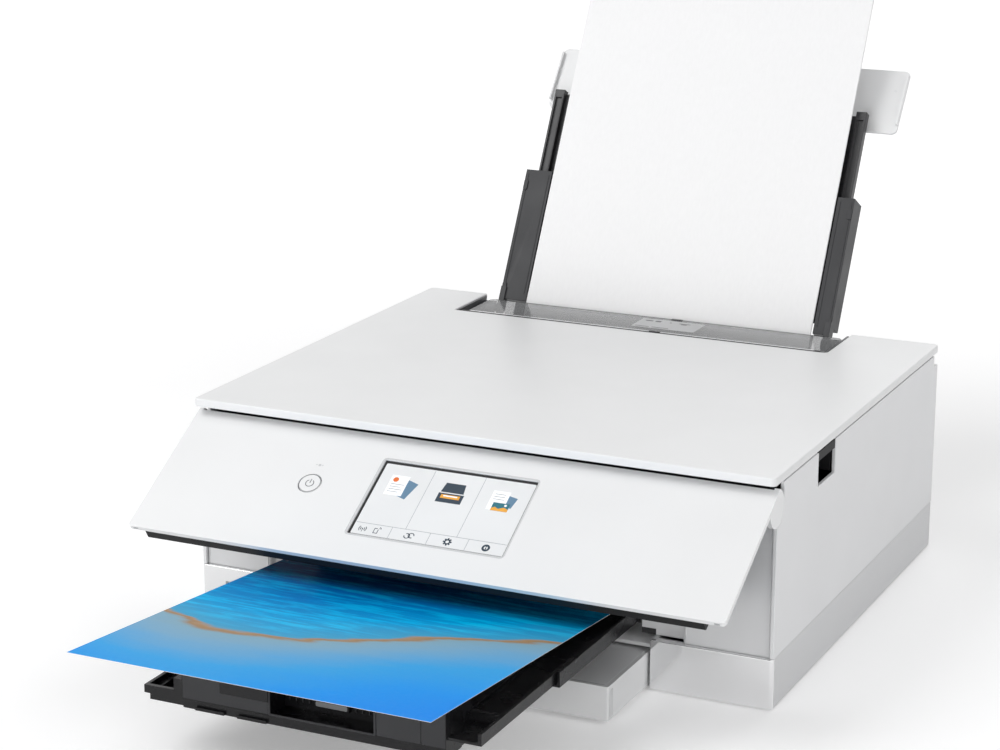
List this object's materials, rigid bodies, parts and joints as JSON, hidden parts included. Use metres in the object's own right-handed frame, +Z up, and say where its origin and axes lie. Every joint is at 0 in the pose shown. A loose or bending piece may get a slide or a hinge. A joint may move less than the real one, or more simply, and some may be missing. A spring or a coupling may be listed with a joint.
{
  "type": "multifunction printer",
  "caption": "Inkjet printer with a flatbed scanner on top, a tilting touch panel, a pull out tray, a front cassette and a folding rear paper support.",
  "frame": {"origin": "bottom centre of everything, on the table under the middle of the whole assembly", "axes": "+Z up, +Y towards the printer's back, +X to its right as seen from the front"},
  "size_m": [0.3734, 0.6872, 0.3575],
  "materials": {
    "white_gloss": "glossy white moulded plastic",
    "white_side": "fine textured white plastic",
    "black_plastic": "fine grained black plastic",
    "black_gloss": "glossy black plastic",
    "smoked_plastic": "smoked clear plastic",
    "grey_plastic": "grey moulded plastic",
    "rubber": "matt rubber",
    "steel": "plated steel sheet",
    "glass": "clear float glass",
    "screen": "lit touch screen behind a clear plate",
    "foam": "white foam with a smooth skin",
    "paper": "plain paper",
    "print": "printed photo paper with a gloss coat",
    "circuit": "green circuit board",
    "light": "small light",
    "ink": "ink tank plastic"
  },
  "bodies": {
    "base": {"base_pan": "white_side", "base_trim_left": "white_gloss", "base_trim_right": "white_gloss", "card_reader": "black_plastic", "feet": "rubber", "side_cover_left": "white_side", "side_cover_right": "white_side", "rear_cover": "white_side", "front_fascia_left": "white_side", "front_fascia_right": "white_side", "inner_frame": "black_plastic", "feed_motor": "steel", "platen": "black_plastic", "carriage_rail": "steel", "carriage_motor": "steel", "carriage_belt": "rubber", "capping_station": "black_plastic", "main_board": "circuit", "power_supply": "black_plastic", "power_inlet": "black_plastic", "usb_port": "steel", "screws": "steel", "feed_recess": "grey_plastic"},
    "feed_roller": {"feed_roller": "rubber", "feed_gear": "grey_plastic"},
    "eject_roller": {"eject_roller": "rubber", "eject_gear": "grey_plastic"},
    "idler_gear": {"idler_gear": "grey_plastic"},
    "motor_pinion": {"motor_pinion": "grey_plastic"},
    "star_wheels": {"star_wheels": "steel"},
    "pickup_roller": {"pickup_roller": "rubber"},
    "carriage": {"carriage": "black_plastic", "print_head": "black_gloss", "ink_tank_1": "ink", "ink_tank_2": "ink", "ink_tank_3": "ink", "ink_tank_4": "ink", "ink_tank_5": "ink"},
    "scanner_unit": {"scanner_housing": "grey_plastic", "platen_glass": "glass", "scan_rail": "steel"},
    "scan_bar": {"scan_bar": "black_plastic"},
    "document_cover": {"document_cover": "white_gloss", "pressure_pad": "foam"},
    "feed_slot_cover": {"feed_slot_cover": "smoked_plastic"},
    "rear_support": {"lower_support": "black_plastic", "paper_stack": "paper"},
    "upper_support": {"upper_support": "black_plastic"},
    "rear_tray_cover": {"rear_tray_cover": "white_gloss"},
    "control_panel": {"panel_front": "white_gloss", "panel_back": "black_plastic", "touch_screen": "screen", "status_light": "light"},
    "power_button": {"power_button": "white_gloss"},
    "output_tray": {"output_tray": "black_plastic"},
    "tray_extension": {"tray_extension": "black_plastic"},
    "paper_cassette": {"cassette": "white_gloss", "cassette_cover": "white_side"},
    "length_guide": {"cassette_length_guide": "grey_plastic"},
    "printed_sheet": {"printed_sheet": "print"}
  },
  "joints": [
    {"name": "feed_roller_turn", "type": "hinge", "parent": "base", "child": "feed_roller", "pos_m": [0, 0.00415, 0.0521], "axis": [1, 0, 0], "continuous": true},
    {"name": "eject_roller_turn", "type": "hinge", "parent": "base", "child": "eject_roller", "pos_m": [0, -0.05005, 0.0521], "axis": [1, 0, 0], "continuous": true},
    {"name": "idler_gear_turn", "type": "hinge", "parent": "base", "child": "idler_gear", "pos_m": [0, -0.02295, 0.0521], "axis": [1, 0, 0], "continuous": true},
    {"name": "motor_pinion_turn", "type": "hinge", "parent": "base", "child": "motor_pinion", "pos_m": [0, 0.00415, 0.0712], "axis": [1, 0, 0], "continuous": true},
    {"name": "star_wheels_turn", "type": "hinge", "parent": "base", "child": "star_wheels", "pos_m": [0, -0.05005, 0.0619], "axis": [1, 0, 0], "continuous": true},
    {"name": "pickup_roller_turn", "type": "hinge", "parent": "base", "child": "pickup_roller", "pos_m": [0, 0.19791, 0.10717], "axis": [1, 0, 0], "continuous": true},
    {"name": "carriage_slide", "type": "slide", "parent": "base", "child": "carriage", "axis": [-1, 0, 0], "range_m": [0, 0.245]},
    {"name": "scanner_unit_hinge", "type": "hinge", "parent": "base", "child": "scanner_unit", "pos_m": [0, 0.22395, 0.133], "axis": [-1, 0, 0], "range_deg": [0, 45]},
    {"name": "scan_bar_slide", "type": "slide", "parent": "scanner_unit", "child": "scan_bar", "axis": [-1, 0, 0], "range_m": [0, 0.29]},
    {"name": "document_cover_hinge", "type": "hinge", "parent": "scanner_unit", "child": "document_cover", "pos_m": [0, 0.22395, 0.133], "axis": [-1, 0, 0], "range_deg": [0, 70]},
    {"name": "feed_slot_cover_hinge", "type": "hinge", "parent": "base", "child": "feed_slot_cover", "pos_m": [0, 0.17885, 0.1368], "axis": [1, 0, 0], "range_deg": [0, 70]},
    {"name": "rear_support_fold", "type": "hinge", "parent": "base", "child": "rear_support", "pos_m": [0, 0.22095, 0.131], "axis": [1, 0, 0], "range_deg": [0, 28.3], "deforming": ["paper_stack"]},
    {"name": "upper_support_slide", "type": "slide", "parent": "rear_support", "child": "upper_support", "axis": [0, -0.4741, -0.8805], "range_m": [0, 0.05]},
    {"name": "rear_tray_cover_hinge", "type": "hinge", "parent": "upper_support", "child": "rear_tray_cover", "pos_m": [0, 0.31177, 0.26506], "axis": [1, 0, 0], "range_deg": [0, 10]},
    {"name": "control_panel_hinge", "type": "hinge", "parent": "base", "child": "control_panel", "pos_m": [0, -0.08755, 0.1205], "axis": [1, 0, 0], "range_deg": [0, 10]},
    {"name": "power_button_press", "type": "slide", "parent": "control_panel", "child": "power_button", "axis": [0, 0.518, -0.8554], "range_m": [0, 0.0008], "stiffness_N_per_m": 400},
    {"name": "output_tray_slide", "type": "slide", "parent": "base", "child": "output_tray", "axis": [0, 1, 0], "range_m": [0, 0.134]},
    {"name": "tray_extension_slide", "type": "slide", "parent": "output_tray", "child": "tray_extension", "axis": [0, 1, 0], "range_m": [0, 0.062]},
    {"name": "paper_cassette_slide", "type": "slide", "parent": "base", "child": "paper_cassette", "axis": [0, -1, 0], "range_m": [0, 0.18]},
    {"name": "length_guide_slide", "type": "slide", "parent": "paper_cassette", "child": "length_guide", "axis": [0, 1, 0], "range_m": [0, 0.087]},
    {"name": "printed_sheet_slide", "type": "slide", "parent": "base", "child": "printed_sheet", "axis": [0, -1, 0], "range_m": [0, 0.2]}
  ],
  "couplings": [
    {"joint": "eject_roller_turn", "follows": "feed_roller_turn", "ratio": 1},
    {"joint": "idler_gear_turn", "follows": "feed_roller_turn", "ratio": -0.92857},
    {"joint": "motor_pinion_turn", "follows": "feed_roller_turn", "ratio": -2.1667},
    {"joint": "star_wheels_turn", "follows": "feed_roller_turn", "ratio": -1.175}
  ]
}
